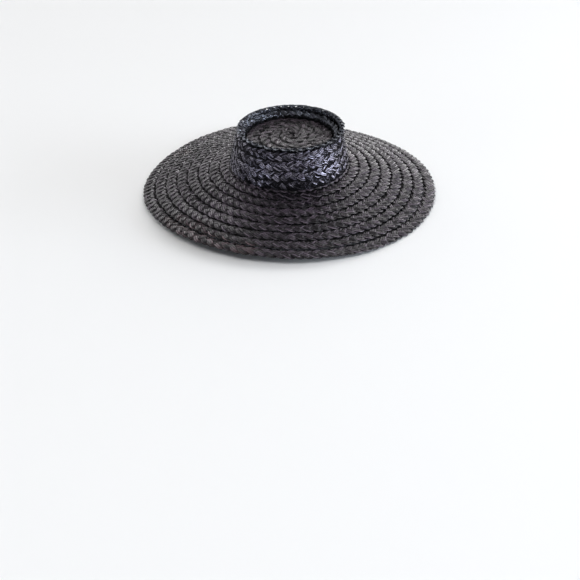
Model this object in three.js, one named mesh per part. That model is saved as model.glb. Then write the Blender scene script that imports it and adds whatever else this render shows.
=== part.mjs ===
// A wide-brim straw hat, sewn from lapped rows of flat plait: a sunken oval tip, the wall and
// crest round it, the side of the crown, and a broad brim that slopes down to a wavy edge.
// Millimetres, +Z up. The hat rests on the low points of its brim edge, at z = 0, and the
// wearer faces +Y. Half widths are taken across the head, along X.
import * as THREE from 'three';

// Driving dimensions. Heights are above the mean height of the brim's edge.
const STRAW = 2.2;      // thickness of a sewn row
const LAP = 1.0;        // how far a row's outer edge stands over the next row
const SEGMENTS = 64;    // steps round the hat

const TIP = { height: 68.5, button: 6.5, edge: 56.1, rows: 4 };
const SIDE = { top: [70.2, 82.0], base: [80.6, 33.0], rows: 4 };
const BRIM = { inner: [81.0, 31.2], edge: [199.6, 0], rows: 8 };

// Middle lines that are not lapped, each point a half width and a height.
const RIM_LINE = [
  [52.4, 66.1],         // a flange under the tip's edge
  [57.6, 66.1],
  [57.6, 70.0],         // the wall of the recess, leaning outwards
  [64.2, 81.8],
  [66.0, 83.6],         // over the crest
  [68.9, 84.2],
  [73.3, 83.2],         // the edge that laps the side's top row
];
const COLLAR_LINE = [
  [77.1, 37.6],         // the brim's first row starts inside the crown
  [77.8, 32.2],
];

// The oval at each half width: how much longer the half length is, and how far the row's
// middle lies towards the wearer's front. The spiral of the tip starts in front of the middle.
const OVALS = [
  { halfWidth: 0, longer: 0, forward: 9 },
  { halfWidth: TIP.button, longer: 7.5, forward: 8 },
  { halfWidth: 57, longer: 7.5, forward: 0 },
  { halfWidth: 71, longer: 6.2, forward: 0 },
  { halfWidth: 82, longer: 12.7, forward: 0 },
  { halfWidth: 201, longer: 16.4, forward: 0 },
];

// The waves of the brim's edge: each lifts the edge by `rise` at `degrees` from +X towards +Y
// and at the other crests of its `lobes`. They grow from nothing at the crown.
const WAVES = [
  { lobes: 1, rise: 2.7, degrees: -130.9 },
  { lobes: 2, rise: 2.55, degrees: 73.4 },
  { lobes: 3, rise: 2.2, degrees: -0.9 },
  { lobes: 4, rise: 0.69, degrees: 16.9 },
];
const WAVE_GROWTH = 1.5;

// The crest stands a little higher on the wearer's right and is pushed over to that side.
const CREST_TILT = 0.013;
const CREST_SHIFT = 2.0;

function ovalAt(halfWidth) {
  const next = OVALS.findIndex((oval) => oval.halfWidth > halfWidth);
  const [low, high] = [OVALS[next - 1], OVALS[next]];
  const share = (halfWidth - low.halfWidth) / (high.halfWidth - low.halfWidth);
  return {
    longer: THREE.MathUtils.lerp(low.longer, high.longer, share),
    forward: THREE.MathUtils.lerp(low.forward, high.forward, share),
  };
}

function shareUp(height, from) {
  return THREE.MathUtils.clamp((height - from) / (SIDE.top[1] - from), 0, 1);
}

function waveLift(halfWidth, angle) {
  const [inner, edge] = [BRIM.inner[0], BRIM.edge[0]];
  const out = Math.max(0, (halfWidth - inner) / (edge - inner));
  let lift = 0;
  for (const { lobes, rise, degrees } of WAVES) {
    lift += rise * Math.cos(lobes * (angle - THREE.MathUtils.degToRad(degrees)));
  }
  return lift * out ** WAVE_GROWTH;
}

// Turns a section round the hat, then draws it out to the oval and adds the waves.
function turned(section) {
  const geometry = new THREE.LatheGeometry(section, SEGMENTS).rotateX(Math.PI / 2);
  const place = geometry.attributes.position;
  for (let i = 0; i < place.count; i += 1) {
    const [x, y, height] = [place.getX(i), place.getY(i), place.getZ(i)];
    const halfWidth = Math.hypot(x, y);
    const angle = Math.atan2(y, x);
    const { longer, forward } = ovalAt(halfWidth);
    place.setXYZ(
      i,
      halfWidth * Math.cos(angle) + CREST_SHIFT * shareUp(height, TIP.height),
      (halfWidth + longer) * Math.sin(angle) + forward,
      height + CREST_TILT * x * shareUp(height, SIDE.base[1]) + waveLift(halfWidth, angle),
    );
  }
  geometry.computeVertexNormals();
  return geometry;
}

const flat = (points) => points.map(([halfWidth, height]) => (
  { at: new THREE.Vector2(halfWidth, height), rise: 0 }
));

// The middle line of rows that lap each other: each rises from under its neighbour's edge to
// stand over the start of the next, so every seam is given twice, high and low.
function lapped(from, to, rows) {
  const [start, end] = [new THREE.Vector2(...from), new THREE.Vector2(...to)];
  const line = [];
  for (let row = 0; row < rows; row += 1) {
    line.push({ at: start.clone().lerp(end, row / rows), rise: -LAP / 2 });
    line.push({ at: start.clone().lerp(end, (row + 1) / rows), rise: LAP / 2 });
  }
  return line;
}

// Thickens a middle line into the two faces of a wall, mitred where the line bends.
function faces(line) {
  const upper = [];
  const lower = [];
  line.forEach(({ at, rise }, i) => {
    const apart = (point) => point.at.distanceTo(at) > STRAW / 10;
    const before = line.slice(0, i).reverse().find(apart);
    const after = line.slice(i + 1).find(apart);
    const ways = [];
    if (before) ways.push(at.clone().sub(before.at).normalize());
    if (after) ways.push(after.at.clone().sub(at).normalize());
    const way = ways.reduce((sum, each) => sum.add(each), new THREE.Vector2()).normalize();
    const across = new THREE.Vector2(-way.y, way.x).divideScalar(way.dot(ways[0]));
    upper.push(at.clone().addScaledVector(across, rise + STRAW / 2));
    lower.push(at.clone().addScaledVector(across, rise - STRAW / 2));
  });
  return { upper, lower };
}

function ring(line) {
  const { upper, lower } = faces(line);
  return turned([...lower, ...upper.reverse(), lower[0].clone()]);
}

function disc(line) {
  const { upper, lower } = faces(line);
  return turned([...lower, ...upper.reverse()]);
}

function tipLine() {
  const [button, edge] = [[TIP.button, TIP.height], [TIP.edge, TIP.height]];
  const level = LAP / 2;
  return [
    { at: new THREE.Vector2(0, TIP.height), rise: level },
    { at: new THREE.Vector2(...button), rise: level },
    ...lapped(button, edge, TIP.rows),
  ];
}

const PIECES = [
  { name: 'crown_tip', geometry: disc(tipLine()), color: 0x3d3b40, roughness: 0.6 },
  { name: 'crown_rim', geometry: ring(flat(RIM_LINE)), color: 0x302e35, roughness: 0.45 },
  {
    name: 'crown_side',
    geometry: ring(lapped(SIDE.top, SIDE.base, SIDE.rows)),
    color: 0x2a2931,
    roughness: 0.4,
  },
  {
    name: 'brim',
    geometry: ring([...flat(COLLAR_LINE), ...lapped(BRIM.inner, BRIM.edge, BRIM.rows)]),
    color: 0x333136,
    roughness: 0.5,
  },
];

const hat = new THREE.Group();
for (const { name, geometry, color, roughness } of PIECES) {
  const material = new THREE.MeshStandardMaterial({ color, roughness, metalness: 0 });
  const mesh = new THREE.Mesh(geometry, material);
  mesh.name = name;
  hat.add(mesh);
}

// Set down so that the lowest point of the brim's edge is at z = 0.
const lowest = new THREE.Box3().setFromObject(hat).min.z;
for (const mesh of hat.children) mesh.geometry.translate(0, 0, -lowest);

export default hat;
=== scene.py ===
"""A wide-brim straw hat, sewn from lapped rows of three-strand plait."""

import math

import bpy
from bpy.props import FloatProperty, FloatVectorProperty, IntProperty, PointerProperty
from mathutils import Matrix, Vector


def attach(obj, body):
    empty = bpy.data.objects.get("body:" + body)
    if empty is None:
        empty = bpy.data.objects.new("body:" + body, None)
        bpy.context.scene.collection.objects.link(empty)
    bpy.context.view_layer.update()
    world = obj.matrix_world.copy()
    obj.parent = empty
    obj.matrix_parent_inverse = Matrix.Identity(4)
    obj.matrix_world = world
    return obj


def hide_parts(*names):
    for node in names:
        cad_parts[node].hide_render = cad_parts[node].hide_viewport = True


bl_info = {
    "name": "Plaited Straw Hat",
    "version": (1, 0, 0),
    "blender": (4, 5, 0),
    "location": "3D View > Sidebar > Straw Hat",
    "description": "Sews a wide-brim hat row by row from three-strand straw plait",
    "category": "Mesh",
}

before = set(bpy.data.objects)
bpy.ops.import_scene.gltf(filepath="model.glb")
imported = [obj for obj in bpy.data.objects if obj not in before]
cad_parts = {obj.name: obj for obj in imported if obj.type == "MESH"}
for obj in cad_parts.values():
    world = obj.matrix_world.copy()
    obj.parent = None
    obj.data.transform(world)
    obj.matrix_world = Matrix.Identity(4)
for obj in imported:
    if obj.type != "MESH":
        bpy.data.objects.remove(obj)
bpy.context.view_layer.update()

MM = 0.001

# The hat's form: half widths, and heights above the mean of the brim's edge, in millimetres.
LIFT = 3.99                       # from the floor to that mean
TIP = (56.1, 68.5)                # its edge
SIDE = ((70.2, 82.0), (80.6, 33.0))    # from its top to its base
BRIM = ((81.0, 31.6), (199.6, 0.9))    # from the crown to the edge

# Half width, how much longer the half length is, and how far forward and aside a row's middle is.
OVALS = (
    (0.0, 0.0, 9.5, 5.0),
    (6.5, 7.5, 8.5, 4.4),
    (57.0, 7.5, 0.0, 0.0),
    (71.0, 6.2, 0.0, 0.0),
    (82.0, 12.7, 0.0, 0.0),
    (202.0, 16.4, 0.0, 0.0),
)
# Lobes, rise at the edge, and the direction of the first crest in degrees.
WAVES = ((1, 2.7, -130.9), (2, 2.55, 73.4), (3, 2.2, -0.9), (4, 0.69, 16.9))
WAVE_GROWTH = 1.5
CREST_TILT = 0.013                # how much the crest rises with each millimetre of +X
CREST_SHIFT = 2.0                 # how far it is pushed over to +X

# The rows of the brim and of the crown's side. Widths of plait are in metres, as in its settings.
BRIM_ROWS = 8
SEAM_EARLY = 0.12                 # how much of a row the brim's seams lie in from even places
BRIM_SEAMS = [(row - SEAM_EARLY) / BRIM_ROWS for row in range(1, BRIM_ROWS)] + [1.0]
SIDE_SEAMS = (0.28, 0.54, 0.785, 1.0)    # seams are places along BRIM and SIDE, from 0 to 1
EDGE_OUT = 1.2                    # how far the brim's rows reach past their seams
UNDER_CREST = 0.03                # where along SIDE its top row comes out from under the crest
TOP_ROW_WIDTH = 0.0140
SIDE_ROW_WIDTH = 0.0162

# Rows that lie alone: half width, height and slope of the middle, and the part of full width.
COLLAR_ROW = (78.6, 34.0, math.radians(-50.0), 1.0)
COLLAR_WIDTH = 0.0110
WALL_ROW = (61.1, 72.8, math.radians(60.0), 1.0)
WALL_ROW_WIDTH = 0.0155
CREST_ROW = (66.6, 82.2, math.radians(50.0), 1.0)
CREST_WIDTH = 0.0140
CREST_STRAND_WIDTH = 0.0064
CREST_FOLD = math.radians(90)
CREST_FOLD_RADIUS = 0.003
CREST_FOLD_MIDDLE = 0.002

# The spiral of the tip.
TIP_START = -1.05                 # where the spiral's outer edge would be at no turns
TIP_MIDDLE = 0.2                  # the smallest half width that its inner edge has
TIP_FIRST = 0.5                   # the turn that its button starts at
TIP_TURNS = 5.3
TIP_PITCH = 12.4                  # how far out each turn lies from the one before
TIP_PLAIT = 18.8                  # from its outer to its inner edge
TIP_UNDER_WALL = 2.4              # how far it reaches out under the wall

# How far the painted shade of a seam reaches out past the edge above it, and up the wall past its
# middle.
BRIM_SHADE = 0.5 * MM
SIDE_SHADE = -1.2 * MM
TIP_SHADE = -0.7 * MM
WALL_SHADE = -0.6 * MM

# How each kind of row lies: its rise outwards and how high its strands cross.
BRIM_LIE = {"Lean": 0.12, "Cross Height": 0.0004}
SIDE_LIE = {"Lean": 0.05, "Cross Height": 0.0003}
CREST_LIE = {"Lean": 0.0, "Cross Height": 0.0002}
TIP_LIE = {"Lean": 0.06, "Cross Height": 0.0003}

# The plait's make.
STRANDS = 3
STRAWS = 3                        # side by side in each strand
NARROWING = 0.7                   # how strongly a narrower plait narrows its strands
TURNING = 0.12                    # how much narrower a strand is where it turns back

# How each strand strays: waves to the metre, place in the noise, and how far at a scatter of 1.
STRAY = {
    "along": (30.0, 0.0, 0.5),        # in radians of its swing
    "across": (60.0, 3.0, 0.0035),    # in metres
    "up": (80.0, 9.0, 0.0012),        # in metres
    "width": (70.0, 5.0, 0.35),       # as a part of its width
}
STRAND_APART, ROW_APART = 7.3, 3.7    # how far apart strands and rows are in that noise

# Grain of the straw: grains to the metre along it, from its edge to its middle, and detail.
FIBRE = (60, 7, 3.0)
DYE = (25, 2.2, 1.0)
RIBS = (90, 14, 2.0)
PATCHES = 22.0                    # of deeper and thinner dye, to the metre of the hat
STRAW_LENGTHS = 14                # straws joined end to end in each metre
DEPTH = 2.8                       # how strongly the dye leans to its deep colour
RAGGED, FADE = 0.004, 0.0014      # how far a seam's painted shade differs from straw to straw, and fades
MOST_DULL = 0.96                  # the greatest share of the dark, dull surface, which paints shade and dulls some straws
MOST_WORN = 0.35                  # the worn colour's greatest share
SMOOTHEST, ROUGHEST = 0.14, 0.95

# What sets each part's straw apart from the plain one. The tints are painted light and shade:
# lighter on the tip, which faces up to the light, and darker and bluer on the steep side and rim.
LOOKS = {
    "straw_brim": {},
    "straw_side": {"light_and_shade_tint": (0.3, 0.3, 0.42), "gloss": 0.15, "ior": 2.35,
                   "sheen": (0.84, 0.8, 1.0), "uneven_and_shade": 1.0},
    "straw_rim": {"light_and_shade_tint": (0.4, 0.42, 0.5), "gloss": 0.12, "ior": 2.5,
                  "sheen": (0.8, 0.85, 1.0), "uneven_and_shade": 0.7},
    "straw_tip": {"light_and_shade_tint": (1.15, 1.13, 1.08), "gloss": -0.05},
}

# Worn places: where they are and how far they reach, in metres.
WORN = (
    (-0.1204, -0.1543, 0.014, 0.030),
    (-0.1493, -0.1265, 0.012, 0.024),
    (-0.0900, -0.1800, 0.012, 0.022),
    (-0.0560, -0.1960, 0.011, 0.020),
    (-0.1550, 0.0900, 0.012, 0.020),
)

# Name, place, width and height in metres, power in watts and colour.
LIGHTS = (
    ("window", (2.6, -0.45, 0.40), (2.4, 1.0), 94.0, (0.84, 0.91, 1.0)),
    ("far window", (-2.1, -1.45, 0.30), (0.8, 0.6), 14.0, (0.84, 0.90, 1.0)),
)
LIGHT_AIM = (0.0, 0.0, 0.05)
ROOM_LIGHT = 0.025                # the dim light from all round
FLOOR_REACH = 6.0
CAMERA_PLACE = (0.0, -1.24988, 0.60810)
CAMERA_UP = (0.005388, 0.52808396, 0.84917507)
CAMERA_FORWARD = (-0.0000377714, 0.849187502, -0.528091455)


def oval_at(half_width):
    """How much longer than wide the hat is at a half width, and how far forward and aside."""
    for low, high in zip(OVALS, OVALS[1:]):
        if half_width <= high[0]:
            break
    share = (half_width - low[0]) / (high[0] - low[0])
    return [a + (b - a) * share for a, b in zip(low[1:], high[1:])]


def share_up(height, base):
    """0 at a height and below, 1 at the top of the crown's side and above."""
    return min(1.0, max(0.0, (height - base) / (SIDE[0][1] - base)))


def wave_lift(half_width, angle):
    """How far the brim's waves lift a point."""
    out = max(0.0, (half_width - BRIM[0][0]) / (BRIM[1][0] - BRIM[0][0]))
    lift = sum(rise * math.cos(lobes * (angle - math.radians(at))) for lobes, rise, at in WAVES)
    return lift * out ** WAVE_GROWTH


def hat_point(half_width, height, angle):
    """A point of the hat's form, in metres."""
    longer, forward, aside = oval_at(half_width)
    x = half_width * math.cos(angle) + aside
    y = (half_width + longer) * math.sin(angle) + forward
    z = LIFT + height + CREST_TILT * x * share_up(height, SIDE[1][1]) + wave_lift(half_width, angle)
    return Vector((x + CREST_SHIFT * share_up(height, TIP[1]), y, z)) * MM


def place_on(section, angle):
    """A point of a row's middle, and the ways out and up there.

    section is a half width, a height and the slope of the row, in radians.
    """
    half_width, height, slope = section
    at = hat_point(half_width, height, angle)
    step, turn = 0.5, 0.01        # short ways out and onward
    beyond = hat_point(half_width + step * math.cos(slope), height + step * math.sin(slope), angle)
    onward = hat_point(half_width, height, angle + turn)
    out = (beyond - at).normalized()
    up = out.cross(onward - at).normalized()
    out = (onward - at).cross(up).normalized()
    return at, out, up


class Num:
    """A number's socket in a node tree: arithmetic on it adds Math nodes."""

    def __init__(self, graph, socket):
        self.graph = graph
        self.socket = socket

    def _math(self, operation, *values):
        return Num(self.graph, self.graph.add("ShaderNodeMath", {"operation": operation},
                                              dict(enumerate(values))).outputs[0])

    def __add__(self, other):
        return self._math("ADD", self, other)

    def __sub__(self, other):
        return self._math("SUBTRACT", self, other)

    def __mul__(self, other):
        return self._math("MULTIPLY", self, other)

    def __truediv__(self, other):
        return self._math("DIVIDE", self, other)

    def __pow__(self, other):
        return self._math("POWER", self, other)

    def __rsub__(self, other):
        return self._math("SUBTRACT", other, self)

    def __neg__(self):
        return self._math("MULTIPLY", self, -1.0)

    __radd__ = __add__
    __rmul__ = __mul__

    def sin(self):
        return self._math("SINE", self)

    def cos(self):
        return self._math("COSINE", self)

    def floor(self):
        return self._math("FLOOR", self)

    def larger(self, other):
        return self._math("MAXIMUM", self, other)

    def abs(self):
        return self._math("ABSOLUTE", self)

    def clamp(self, low, high):
        return self._math("MAXIMUM", self._math("MINIMUM", self, high), low)

    def ramp(self, low, high):
        """0 below low, 1 above high, and smooth between them."""
        node = self.graph.add("ShaderNodeMapRange", {"interpolation_type": "SMOOTHSTEP"},
                              {"Value": self, "From Min": low, "From Max": high})
        return Num(self.graph, node.outputs[0])


class Graph:
    """Adds nodes to one tree: settings are set first, then values or links on the sockets."""

    def __init__(self, tree):
        self.tree = tree

    def add(self, kind, settings=None, inputs=None):
        node = self.tree.nodes.new(kind)
        for name, value in (settings or {}).items():
            setattr(node, name, value)
        for name, value in (inputs or {}).items():
            socket = node.inputs[name]
            value = getattr(value, "socket", value)
            if isinstance(value, bpy.types.NodeSocket):
                self.tree.links.new(value, socket)
            else:
                socket.default_value = value
        return node

    def num(self, kind, settings=None, inputs=None, output=0):
        return Num(self, self.add(kind, settings, inputs).outputs[output])

    def vector(self, operation, *values):
        settings = {"operation": operation}
        if operation == "SCALE":
            inputs = {0: values[0], "Scale": values[1]}
        else:
            inputs = dict(enumerate(values))
        return self.add("ShaderNodeVectorMath", settings, inputs).outputs[0]

    def mixed(self, share, low, high):
        """A colour between two others."""
        node = self.add("ShaderNodeMix", {"data_type": "RGBA"}, {0: share, 6: low, 7: high})
        return node.outputs[2]

    def joined(self, x, y, z):
        """A vector of three numbers."""
        return self.add("ShaderNodeCombineXYZ", {}, {0: x, 1: y, 2: z}).outputs[0]

    def attribute(self, name, kind="FLOAT_VECTOR"):
        """What a named attribute holds."""
        return self.add("GeometryNodeInputNamedAttribute", {"data_type": kind},
                        {"Name": name}).outputs[0]

    def stored(self, geometry, name, value, kind="FLOAT_VECTOR"):
        """The geometry with an attribute on each of its points."""
        return self.add("GeometryNodeStoreNamedAttribute", {"data_type": kind, "domain": "POINT"},
                        {"Geometry": geometry, "Name": name, "Value": value}).outputs[0]


# The inputs of the plait's tree: name, kind and default.
PLAIT_INPUTS = (
    ("Path", "NodeSocketGeometry", None),
    ("Strand Section", "NodeSocketObject", None),
    ("Crossings", "NodeSocketInt", 60),
    ("Steps", "NodeSocketInt", 8),
    ("Plait Width", "NodeSocketFloat", 0.0197),
    ("Strand Width", "NodeSocketFloat", 0.0083),
    ("Strand Thickness", "NodeSocketFloat", 0.0008),
    ("Cross Height", "NodeSocketFloat", 0.0006),
    ("Lean", "NodeSocketFloat", 0.08),
    ("Crown", "NodeSocketFloat", 0.2),
    ("Fold Angle", "NodeSocketFloat", 0.0),
    ("Fold Radius", "NodeSocketFloat", 0.003),
    ("Fold Middle", "NodeSocketFloat", 0.0),
    ("Covered", "NodeSocketFloat", -0.02),
    ("Scatter", "NodeSocketFloat", 1.0),
    ("Seed", "NodeSocketInt", 1),
    ("Material", "NodeSocketMaterial", None),
)


def plait_tree():
    """Three strands that cross each other along a path, swept with a strand's section.

    The path carries the ways out and up at each of its points, and what part of its full width
    the plait has there. A strand swings from edge to edge of the plait and runs on top wherever
    it nears an edge.
    """
    tree = bpy.data.node_groups.new("Three-strand plait", "GeometryNodeTree")
    tree.interface.new_socket("Mesh", in_out="OUTPUT", socket_type="NodeSocketGeometry")
    for name, kind, default in PLAIT_INPUTS:
        socket = tree.interface.new_socket(name, in_out="INPUT", socket_type=kind)
        if default is not None:
            socket.default_value = default
    g = Graph(tree)
    given = g.add("NodeGroupInput").outputs

    def size(name):
        return Num(g, given[name])

    curve = g.add("GeometryNodeMeshToCurve", {}, {"Mesh": given["Path"]}).outputs[0]
    count = size("Crossings") * size("Steps")
    curve = g.add("GeometryNodeResampleCurve", {"mode": "COUNT"},
                  {"Curve": curve, "Count": count}).outputs[0]
    copies = g.add("GeometryNodeDuplicateElements", {"domain": "SPLINE"},
                   {"Geometry": curve, "Amount": STRANDS})
    strand = Num(g, copies.outputs["Duplicate Index"])
    place = g.add("GeometryNodeSplineParameter")
    share, along = Num(g, place.outputs["Factor"]), Num(g, place.outputs["Length"])
    out = g.attribute("out")
    up = g.attribute("up")
    here = g.add("GeometryNodeInputPosition").outputs[0]

    def stray(way):
        """Smooth noise round 0 along each strand, alike where a ring closes."""
        waves, salt, most = STRAY[way]
        own = g.joined(strand * STRAND_APART + salt, salt, size("Seed") * ROW_APART)
        at = g.vector("ADD", g.vector("SCALE", here, waves), own)
        noise = g.num("ShaderNodeTexNoise", {"noise_dimensions": "3D"},
                      {"Vector": at, "Scale": 1.0, "Detail": 1.0}) - 0.5
        return noise * size("Scatter") * most

    # A strand runs nearly straight from edge to edge, and changes fast between over and under.
    phase = (share * size("Crossings") + strand) * (math.tau / STRANDS)
    phase = phase + stray("along")
    full = Num(g, g.attribute("full", "FLOAT"))
    reach = (size("Plait Width") - size("Strand Width")) * 0.5 * full
    swing = (phase.sin() - (phase * 3).sin() * 0.11) / 1.11
    across = swing * reach + stray("across")
    rise = ((phase * 2).sin() * 2.2).clamp(-1, 1)
    height = rise * size("Cross Height") + size("Lean") * across
    height = height + stray("up")

    # The plait may be folded along its length, as over the crest of the crown.
    half = size("Fold Angle") * 0.5
    turn = ((across - size("Fold Middle")) / size("Fold Radius")).clamp(-half, half)
    rest = across - turn * size("Fold Radius")
    outward = turn.sin() * size("Fold Radius") + rest * turn.cos()
    upward = (turn.cos() - 1) * size("Fold Radius") - rest * turn.sin()
    outward = outward + turn.sin() * height
    upward = upward + turn.cos() * height
    offset = g.vector("ADD", g.vector("SCALE", out, outward), g.vector("SCALE", up, upward))

    # Strands lie on a slightly crowned surface.
    bank = turn + swing * size("Crown")
    facing = g.vector("ADD", g.vector("SCALE", out, bank.sin()),
                      g.vector("SCALE", up, bank.cos()))

    stored = copies.outputs["Geometry"]
    number = g.num("FunctionNodeRandomValue", {"data_type": "FLOAT"},
                   {"ID": strand, "Seed": size("Seed")}, output=1)
    for name, value in (("along", along), ("strand", number), ("rise", rise)):
        stored = g.stored(stored, name, value, "FLOAT")
    for name, value in (("facing", facing), ("home", here)):
        stored = g.stored(stored, name, value)
    radius = (1 - swing.abs() ** 6 * TURNING + stray("width")) * full
    stored = g.add("GeometryNodeSetCurveRadius", {},
                   {"Curve": stored, "Radius": radius}).outputs[0]
    moved = g.add("GeometryNodeSetPosition", {},
                  {"Geometry": stored, "Offset": offset}).outputs[0]

    # Its flat side faces as stored, square to the way that it now runs.
    kept = g.attribute("facing")
    tangent = g.add("GeometryNodeInputTangent").outputs[0]
    part = Num(g, g.add("ShaderNodeVectorMath", {"operation": "DOT_PRODUCT"},
                        {0: kept, 1: tangent}).outputs["Value"])
    square = g.vector("SUBTRACT", kept, g.vector("SCALE", tangent, part))
    turned = g.add("GeometryNodeSetCurveNormal", {"mode": "FREE"},
                   {"Curve": moved, "Normal": g.vector("NORMALIZE", square)}).outputs[0]

    # Each point of the strand's section keeps its place at unit size, and then the section is sized.
    shape = g.add("GeometryNodeObjectInfo", {}, {"Object": given["Strand Section"]})
    section = g.add("GeometryNodeMeshToCurve", {}, {"Mesh": shape.outputs["Geometry"]}).outputs[0]
    point = g.add("GeometryNodeInputPosition").outputs[0]
    section = g.stored(section, "section", point)
    sized = g.joined(size("Strand Thickness") * 0.5, size("Strand Width") * 0.5, 1.0)
    section = g.add("GeometryNodeSetPosition", {},
                    {"Geometry": section, "Position": g.vector("MULTIPLY", point, sized)}).outputs[0]
    scale = g.add("GeometryNodeInputRadius").outputs[0]
    mesh = g.add("GeometryNodeCurveToMesh", {}, {
        "Curve": turned, "Profile Curve": section, "Scale": scale, "Fill Caps": True})

    # How far out each point is from where the row comes out from under the one above.
    home = g.attribute("home")
    apart = g.add("ShaderNodeVectorMath", {"operation": "DOT_PRODUCT"},
                  {0: g.vector("SUBTRACT", here, home), 1: out}).outputs["Value"]
    mesh = g.stored(mesh.outputs[0], "apart", Num(g, apart) - size("Covered"), "FLOAT")
    mesh = g.add("GeometryNodeSetShadeSmooth", {}, {"Geometry": mesh}).outputs[0]
    mesh = g.add("GeometryNodeRealizeInstances", {}, {"Geometry": mesh}).outputs[0]
    mesh = g.add("GeometryNodeSetMaterial", {}, {"Geometry": mesh, "Material": given["Material"]})
    g.add("NodeGroupOutput", {}, {0: mesh.outputs[0]})
    return tree


def straw_material(name, finish, light_and_shade_tint=(1.0, 1.0, 1.0), gloss=0.0, ior=1.5,
                   sheen=(1.0, 0.93, 1.0), uneven_and_shade=0.4):
    """Dyed straw: fine lengthwise fibres, dye and sheen that vary, a few worn places, and painted shade.

    tint paints light and shade: it lightens the straw of a part that faces up to the light, and
    darkens and blues that of the steep parts. gloss takes from the roughness. A higher ior makes the
    straw reflect more, as varnish does, and sheen is the colour of the reflection. uneven is how dull
    the dullest straws are, and how deep the painted shade is where a strand runs under another.
    """
    material = bpy.data.materials.new(name)
    material.use_nodes = True
    tree = material.node_tree
    tree.nodes.clear()
    g = Graph(tree)
    place = g.add("ShaderNodeTexCoord").outputs["Object"]

    def carried(attribute):
        return g.num("ShaderNodeAttribute", {"attribute_name": attribute}, {}, output=2)

    along, strand, rise, apart = (carried(name) for name in ("along", "strand", "rise", "apart"))
    section = g.add("ShaderNodeAttribute", {"attribute_name": "section"}).outputs["Vector"]
    parts = g.add("ShaderNodeSeparateXYZ", {}, {0: section}).outputs
    height, across = Num(g, parts[0]), Num(g, parts[1])

    def grain(lengthwise, crosswise, detail):
        """Noise drawn out along the strand: grains to the metre, and from edge to middle."""
        at = g.joined(along * lengthwise, across * crosswise, strand * 31)
        return g.num("ShaderNodeTexNoise", {"noise_dimensions": "3D"},
                     {"Vector": at, "Scale": 1.0, "Detail": detail})

    # Straws lie side by side in a strand, and each took the dye and the polish its own way.
    straw = (across * (STRAWS / 2) + 0.5).floor()
    on_straw = across * (STRAWS / 2) - straw
    stretch = (along * STRAW_LENGTHS + strand * 5).floor()
    key = g.joined(straw, strand * 53, stretch)
    own = g.num("ShaderNodeTexWhiteNoise", {"noise_dimensions": "3D"}, {"Vector": key})
    fibre = grain(*FIBRE)
    dye = grain(*DYE)
    patch = g.num("ShaderNodeTexNoise", {"noise_dimensions": "3D"},
                  {"Vector": place, "Scale": PATCHES, "Detail": 2.0})

    dark = [c * t for c, t in zip(finish.dark, light_and_shade_tint)] + [1.0]
    light = [c * t for c, t in zip(finish.light, light_and_shade_tint)] + [1.0]
    share = (fibre - 0.5) + (dye - 0.5) * 1.2 + (patch - 0.5) * 0.8 + (own - 0.5) * 2.0 + 0.5

    # Painted shade: darker between straws, where a strand dips under another or lies low,
    # and at the foot of the row above, where that row shades it.
    edge = (on_straw.abs().ramp(0.26, 0.5) * 0.9).larger(across.abs().ramp(0.82, 1.0))
    under = (1 - (rise + height * 0.2).ramp(-0.6, 0.4)) * (0.22 + uneven_and_shade * 0.7)
    under = under.larger(1 - (apart + (own - 0.5) * RAGGED).ramp(0.0, FADE))
    share = share * (1 - edge * 0.5) * (1 - under * 0.5)
    colour = g.mixed(share.clamp(0, 1) ** DEPTH, dark, light)

    # Places where the dye has worn to a red brown.
    worn = None
    for x, y, z, radius in WORN:
        away = g.add("ShaderNodeVectorMath", {"operation": "DISTANCE"}, {0: place, 1: (x, y, z)})
        spot = 1 - Num(g, away.outputs["Value"]).ramp(radius * 0.35, radius)
        worn = spot if worn is None else worn.larger(spot)
    rubbed = (worn * (0.1 + share) * (own * 1.4 - 0.3)).clamp(0, MOST_WORN)
    colour = g.mixed(rubbed, colour, [*finish.worn, 1.0])

    # Straws are round on top, and each lies tipped a little its own way.
    tipped = g.num("ShaderNodeTexWhiteNoise", {"noise_dimensions": "3D"},
                   {"Vector": g.vector("ADD", key, (7.0, 3.0, 5.0))}) - 0.5
    roughness = (fibre - 0.5) * 0.25 - tipped * 0.4 + edge * 0.2 + (finish.roughness - gloss)
    relief = grain(*RIBS) * 0.25 - on_straw * on_straw * 1.1 + on_straw * tipped * 2.6
    bump = g.add("ShaderNodeBump", {}, {"Height": relief, "Strength": 1.0, "Distance": 0.001})
    surface = g.add("ShaderNodeBsdfPrincipled", {}, {
        "Base Color": colour, "Roughness": roughness.clamp(SMOOTHEST, ROUGHEST),
        "Normal": bump.outputs[0], "IOR": ior, "Specular Tint": (*sheen, 1.0),
    })

    # Painted shade: a dark, dull surface is mixed in between the straws, where a strand runs
    # under another and at the foot of the row above, and some straws are dulled with it at random.
    dull = g.add("ShaderNodeBsdfPrincipled", {}, {
        "Base Color": (*finish.dark, 1.0), "Roughness": 0.9, "Specular IOR Level": 0.05,
    })
    dulled = (1 - tipped.ramp(-0.3, 0.0)) * uneven_and_shade
    shade_and_dull = edge.larger(under).larger(dulled) * MOST_DULL
    both = g.add("ShaderNodeMixShader", {}, {0: shade_and_dull, 1: surface.outputs[0], 2: dull.outputs[0]})
    g.add("ShaderNodeOutputMaterial", {}, {"Surface": both.outputs[0]})
    return material


def new_object(name, mesh):
    piece = bpy.data.objects.new(name, mesh)
    bpy.context.scene.collection.objects.link(piece)
    return piece


def strand_section():
    """The outline of one strand: three straws side by side, flat underneath."""
    outline = (
        (-0.2, -1.0), (0.45, -0.93), (1.0, -0.66), (0.2, -0.333), (1.0, 0.0), (0.2, 0.333),
        (1.0, 0.66), (0.45, 0.93), (-0.2, 1.0), (-0.8, 0.7), (-1.0, 0.0), (-0.8, -0.7),
    )
    mesh = bpy.data.meshes.new("strand_section")
    edges = [(i, (i + 1) % len(outline)) for i in range(len(outline))]
    mesh.from_pydata([(x, y, 0.0) for x, y in outline], edges, [])
    return new_object("strand_section", mesh)


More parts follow.
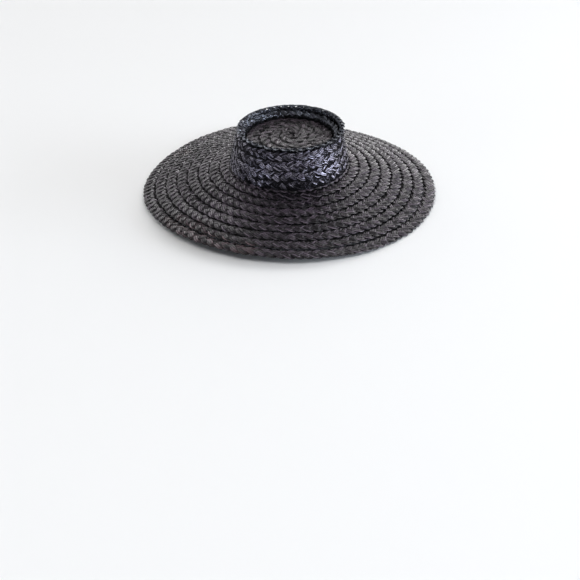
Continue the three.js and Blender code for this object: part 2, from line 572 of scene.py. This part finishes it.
def row_path(section_at, turns=1.0, start=0.0, steps=360):
    """A path round the hat that carries the ways out and up and the plait's width.

    section_at gives a half width, a height, a slope and a part of the full width for a number of
    turns. A path of one turn is a closed ring.
    """
    count = round(steps * turns)
    closed = turns == 1.0
    points = []
    for i in range(count if closed else count + 1):
        turned = start + i * turns / count
        half_width, height, slope, full = section_at(turned)
        points.append((*place_on((half_width, height, slope), math.tau * turned), full))
    edges = [(i, (i + 1) % len(points)) for i in range(count)]
    mesh = bpy.data.meshes.new("path")
    mesh.from_pydata([point[0] for point in points], edges, [])
    for name, which in (("out", 1), ("up", 2)):
        attribute = mesh.attributes.new(name, "FLOAT_VECTOR", "POINT")
        attribute.data.foreach_set("vector", [c for point in points for c in point[which]])
    attribute = mesh.attributes.new("full", "FLOAT", "POINT")
    attribute.data.foreach_set("value", [point[3] for point in points])
    return mesh


def ring_path(section):
    """The path of a row that has the same section all round."""
    return row_path(lambda turned: section)


def path_length(mesh):
    at = mesh.vertices
    return sum((at[a].co - at[b].co).length for a, b in (edge.vertices for edge in mesh.edges))


def sew_row(name, path, plait, material, node, inputs):
    """One row of plait along a path, as a plain mesh.

    inputs are the inputs of the plait's tree that differ from the settings.
    """
    # A ring closes where each strand is back in its place.
    crossings = STRANDS * max(1, round(path_length(path) / plait.pitch / STRANDS))
    piece = new_object(name, path)
    tree = bpy.data.node_groups.get("Three-strand plait") or plait_tree()
    section_object = bpy.data.objects.get("strand_section") or strand_section()
    values = {
        "Strand Section": section_object, "Crossings": crossings, "Steps": plait.steps,
        "Plait Width": plait.width, "Strand Width": plait.strand_width,
        "Strand Thickness": plait.strand_thickness, "Cross Height": plait.cross_height,
        "Scatter": plait.scatter, "Material": material, **inputs,
    }
    # A narrower plait has narrower strands.
    values["Strand Width"] *= (values["Plait Width"] / plait.width) ** NARROWING
    modifier = piece.modifiers.new("plait", "NODES")
    modifier.node_group = tree
    identifiers = {item.name: item.identifier for item in tree.interface.items_tree
                   if item.in_out == "INPUT"}
    for key, value in values.items():
        modifier[identifiers[key]] = value
    depsgraph = bpy.context.evaluated_depsgraph_get()
    mesh = bpy.data.meshes.new_from_object(piece.evaluated_get(depsgraph), depsgraph=depsgraph)
    piece.modifiers.remove(modifier)
    piece.data = mesh
    mesh.name = name
    bpy.data.meshes.remove(path)
    if not mesh.polygons:
        raise RuntimeError(f"{name} came out empty")
    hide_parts(node)
    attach(piece, "root")
    return piece


def rows_along(line, seams, half_plait, first=0.0):
    """Rows that lap each other along a straight line of the hat's section.

    seams are the places of the rows' outer edges along the line, from 0 to 1, and half_plait is
    how far inside them a row's middle lies, in millimetres. What covers the first row ends at
    first. Gives each row's path and where it comes out from under the one before, in metres from
    its middle.
    """
    (w0, h0), (w1, h1) = line
    slope = math.atan2(h1 - h0, w1 - w0)
    whole = math.hypot(w1 - w0, h1 - h0)
    for before, seam in zip((first, *seams), seams):
        run = whole * seam - half_plait
        middle = (w0 + run * math.cos(slope), h0 + run * math.sin(slope), slope, 1.0)
        yield ring_path(middle), (whole * before - run) * MM


def length(name, description, default):
    """A setting that is a length in metres."""
    return FloatProperty(name=name, description=description, default=default, min=0.0,
                         unit="LENGTH", subtype="DISTANCE", precision=5)


class HAT_PG_plait(bpy.types.PropertyGroup):
    """How the plait is made"""
    width: length("Plait width", "Width of the plait", 0.0197)
    pitch: length("Crossing pitch", "Distance along the plait from one crossing to the next", 0.0107)
    strand_width: length("Strand width", "Width of one strand", 0.0083)
    strand_thickness: length("Strand thickness", "Thickness of one strand", 0.0008)
    cross_height: length("Cross height", "How far a strand rises where it crosses another", 0.0006)
    steps: IntProperty(name="Steps", description="Steps along a strand for each crossing",
                       default=8, min=4)
    scatter: FloatProperty(name="Scatter", description="Unevenness of the plaiting by hand",
                           default=1.0, min=0.0, subtype="FACTOR")


class HAT_PG_finish(bpy.types.PropertyGroup):
    """The colours and the polish of the straw"""
    dark: FloatVectorProperty(name="Deep dye", description="Colour of the straw where the dye is deep",
                              default=(0.0015, 0.0014, 0.0018), subtype="COLOR", min=0.0, max=1.0)
    light: FloatVectorProperty(name="Thin dye", description="Colour of the straw where the dye is thin",
                               default=(0.082, 0.063, 0.085), subtype="COLOR", min=0.0, max=1.0)
    worn: FloatVectorProperty(name="Worn dye", description="Colour of the straw where the dye has worn",
                              default=(0.10, 0.045, 0.035), subtype="COLOR", min=0.0, max=1.0)
    roughness: FloatProperty(name="Roughness", description="Roughness of the straw", default=0.28,
                             min=0.0, max=1.0, subtype="FACTOR")


class HAT_PG_stage(bpy.types.PropertyGroup):
    """The floor, the light and the lens"""
    floor_color: FloatVectorProperty(name="Floor", description="Colour of the floor",
                                     default=(0.88, 0.88, 0.88), subtype="COLOR", min=0.0, max=1.0)
    lens: FloatProperty(name="Lens", description="Focal length of the camera", default=62.069,
                        unit="CAMERA", min=1.0)
    overhead: FloatProperty(name="Overhead light", description="Strength of the light from above",
                            default=3.35, min=0.0)
    wall: FloatProperty(name="Wall light", description="Strength of the light from the pale wall behind",
                        default=3.05, min=0.0)


class HAT_OT_brim(bpy.types.Operator):
    """Sew the brim: rows that lap outwards and fall to a wavy edge"""
    bl_idname = "straw_hat.brim"
    bl_label = "Sew the Brim"

    def execute(self, context):
        plait = context.scene.hat_plait
        material = straw_material("straw_brim", context.scene.hat_finish, **LOOKS["straw_brim"])
        half = plait.width / MM / 2 - EDGE_OUT
        for number, (path, covered) in enumerate(rows_along(BRIM, BRIM_SEAMS, half), 1):
            sew_row(f"brim_row_{number}", path, plait, material, "brim",
                    {**BRIM_LIE, "Seed": number, "Covered": covered + EDGE_OUT * MM + BRIM_SHADE})
        sew_row("collar", ring_path(COLLAR_ROW), plait, material, "brim",
                {"Seed": 9, "Lean": 0.0, "Plait Width": COLLAR_WIDTH})
        return {"FINISHED"}


class HAT_OT_side(bpy.types.Operator):
    """Sew the side of the crown"""
    bl_idname = "straw_hat.side"
    bl_label = "Sew the Crown's Side"

    def execute(self, context):
        plait = context.scene.hat_plait
        material = straw_material("straw_side", context.scene.hat_finish, **LOOKS["straw_side"])
        rows = list(rows_along(SIDE, SIDE_SEAMS, SIDE_ROW_WIDTH / MM / 2))
        rows[0] = next(rows_along(SIDE, SIDE_SEAMS, TOP_ROW_WIDTH / MM / 2, UNDER_CREST))
        widths = [TOP_ROW_WIDTH] + [SIDE_ROW_WIDTH] * (len(rows) - 1)
        for number, ((path, covered), width) in enumerate(zip(rows, widths), 1):
            sew_row(f"side_row_{number}", path, plait, material, "crown_side",
                    {**SIDE_LIE, "Seed": 20 + number, "Covered": covered + SIDE_SHADE,
                     "Plait Width": width})
        return {"FINISHED"}


class HAT_OT_rim(bpy.types.Operator):
    """Sew the wall of the recess and fold the crest over it"""
    bl_idname = "straw_hat.rim"
    bl_label = "Sew the Crown's Rim"

    def execute(self, context):
        plait = context.scene.hat_plait
        material = straw_material("straw_rim", context.scene.hat_finish, **LOOKS["straw_rim"])
        sew_row("recess_wall", ring_path(WALL_ROW), plait, material, "crown_rim",
                {"Seed": 31, "Lean": 0.06, "Plait Width": WALL_ROW_WIDTH, "Covered": WALL_SHADE})
        sew_row("crest", ring_path(CREST_ROW), plait, material, "crown_rim",
                {**CREST_LIE, "Seed": 32, "Plait Width": CREST_WIDTH,
                 "Strand Width": CREST_STRAND_WIDTH, "Fold Angle": CREST_FOLD,
                 "Fold Radius": CREST_FOLD_RADIUS, "Fold Middle": CREST_FOLD_MIDDLE})
        return {"FINISHED"}


def tip_section(turned):
    """The spiral of the tip: it widens from its button and narrows away under the wall."""
    edge = TIP_START + TIP_PITCH * turned
    inner, outer = max(TIP_MIDDLE, edge - TIP_PLAIT), min(TIP[0] + TIP_UNDER_WALL, edge)
    return (inner + outer) / 2, TIP[1], 0.0, min(1.0, (outer - inner) / TIP_PLAIT)


class HAT_OT_tip(bpy.types.Operator):
    """Sew the sunken tip as one spiral from its button outwards"""
    bl_idname = "straw_hat.tip"
    bl_label = "Sew the Tip"

    def execute(self, context):
        plait = context.scene.hat_plait
        material = straw_material("straw_tip", context.scene.hat_finish, **LOOKS["straw_tip"])
        path = row_path(tip_section, TIP_TURNS, TIP_FIRST)
        covered = (TIP_PLAIT / 2 - TIP_PITCH) * MM
        sew_row("tip_spiral", path, plait, material, "crown_tip",
                {**TIP_LIE, "Seed": 41, "Covered": covered + TIP_SHADE})
        return {"FINISHED"}


class HAT_OT_stage(bpy.types.Operator):
    """Set the floor, the light and the camera"""
    bl_idname = "straw_hat.stage"
    bl_label = "Set the Stage"

    def execute(self, context):
        settings = context.scene.hat_stage
        scene = context.scene
        mesh = bpy.data.meshes.new("floor")
        corners = [(x * FLOOR_REACH, y * FLOOR_REACH, 0.0)
                   for x, y in ((-1, -1), (1, -1), (1, 1), (-1, 1))]
        mesh.from_pydata(corners, [], [(0, 1, 2, 3)])
        floor = new_object("floor", mesh)
        material = bpy.data.materials.new("floor")
        material.use_nodes = True
        surface = material.node_tree.nodes["Principled BSDF"]
        surface.inputs["Base Color"].default_value = (*settings.floor_color, 1.0)
        surface.inputs["Roughness"].default_value = 0.9
        surface.inputs["Specular IOR Level"].default_value = 0.1
        mesh.materials.append(material)

        # A pale wall behind, a dim room in front, and a band of light high up in front.
        world = bpy.data.worlds.new("studio")
        scene.world = world
        world.use_nodes = True
        world.node_tree.nodes.clear()
        g = Graph(world.node_tree)
        way = g.add("ShaderNodeTexCoord").outputs["Generated"]
        parts = g.add("ShaderNodeSeparateXYZ", {}, {0: way}).outputs
        x, y, z = (Num(g, part) for part in parts)
        behind = y.ramp(-0.15, 0.6) * (1 - z.ramp(0.35, 0.95)) * (0.5 + x.ramp(-0.8, 0.5) * 0.53)
        above = z.ramp(0.72, 0.80) * (1 - z.ramp(0.93, 0.97)) * (1 - y.ramp(-0.3, 0.0))
        strength = ROOM_LIGHT + behind * settings.wall + above * settings.overhead
        background = g.add("ShaderNodeBackground", {}, {
            "Color": (1.0, 1.0, 1.0, 1.0), "Strength": strength})
        g.add("ShaderNodeOutputWorld", {}, {"Surface": background.outputs[0]})

        for name, place, width, power, color in LIGHTS:
            light = bpy.data.lights.new(name, "AREA")
            light.shape = "RECTANGLE"
            light.size, light.size_y = width
            light.energy = power
            light.color = color
            lamp = bpy.data.objects.new(name, light)
            lamp.location = place
            aim = Vector(LIGHT_AIM) - Vector(place)
            lamp.rotation_euler = aim.to_track_quat("-Z", "Y").to_euler()
            scene.collection.objects.link(lamp)

        lens = bpy.data.cameras.new("camera")
        lens.lens = settings.lens
        lens.sensor_width = 36.0
        lens.clip_end = 50.0
        camera = bpy.data.objects.new("camera", lens)
        up, forward = (Vector(way).normalized() for way in (CAMERA_UP, CAMERA_FORWARD))
        right = forward.cross(up).normalized()
        turn = Matrix((right, right.cross(forward), -forward)).transposed().to_4x4()
        camera.matrix_world = Matrix.Translation(Vector(CAMERA_PLACE)) @ turn
        scene.collection.objects.link(camera)
        scene.camera = camera
        scene.view_settings.view_transform = "Standard"
        return {"FINISHED"}


class HAT_PT_panel(bpy.types.Panel):
    bl_idname = "HAT_PT_panel"
    bl_label = "Straw Hat"
    bl_space_type = "VIEW_3D"
    bl_region_type = "UI"
    bl_category = "Straw Hat"

    def draw(self, context):
        for name, group in SETTINGS:
            for setting in group.__annotations__:
                self.layout.prop(getattr(context.scene, name), setting)
        for name in ("stage", "brim", "side", "rim", "tip"):
            self.layout.operator(f"straw_hat.{name}")


CLASSES = (HAT_PG_plait, HAT_PG_finish, HAT_PG_stage, HAT_OT_brim, HAT_OT_side, HAT_OT_rim,
           HAT_OT_tip, HAT_OT_stage, HAT_PT_panel)
SETTINGS = (("hat_plait", HAT_PG_plait), ("hat_finish", HAT_PG_finish), ("hat_stage", HAT_PG_stage))


def register():
    for item in CLASSES:
        bpy.utils.register_class(item)
    for name, group in SETTINGS:
        setattr(bpy.types.Scene, name, PointerProperty(type=group))


def unregister():
    for name, _ in SETTINGS:
        delattr(bpy.types.Scene, name)
    for item in reversed(CLASSES):
        bpy.utils.unregister_class(item)


def main():
    register()
    bpy.ops.straw_hat.stage()
    bpy.ops.straw_hat.brim()
    bpy.ops.straw_hat.side()
    bpy.ops.straw_hat.rim()
    bpy.ops.straw_hat.tip()
    bpy.data.objects.remove(bpy.data.objects["strand_section"])


if __name__ == "__main__":
    main()
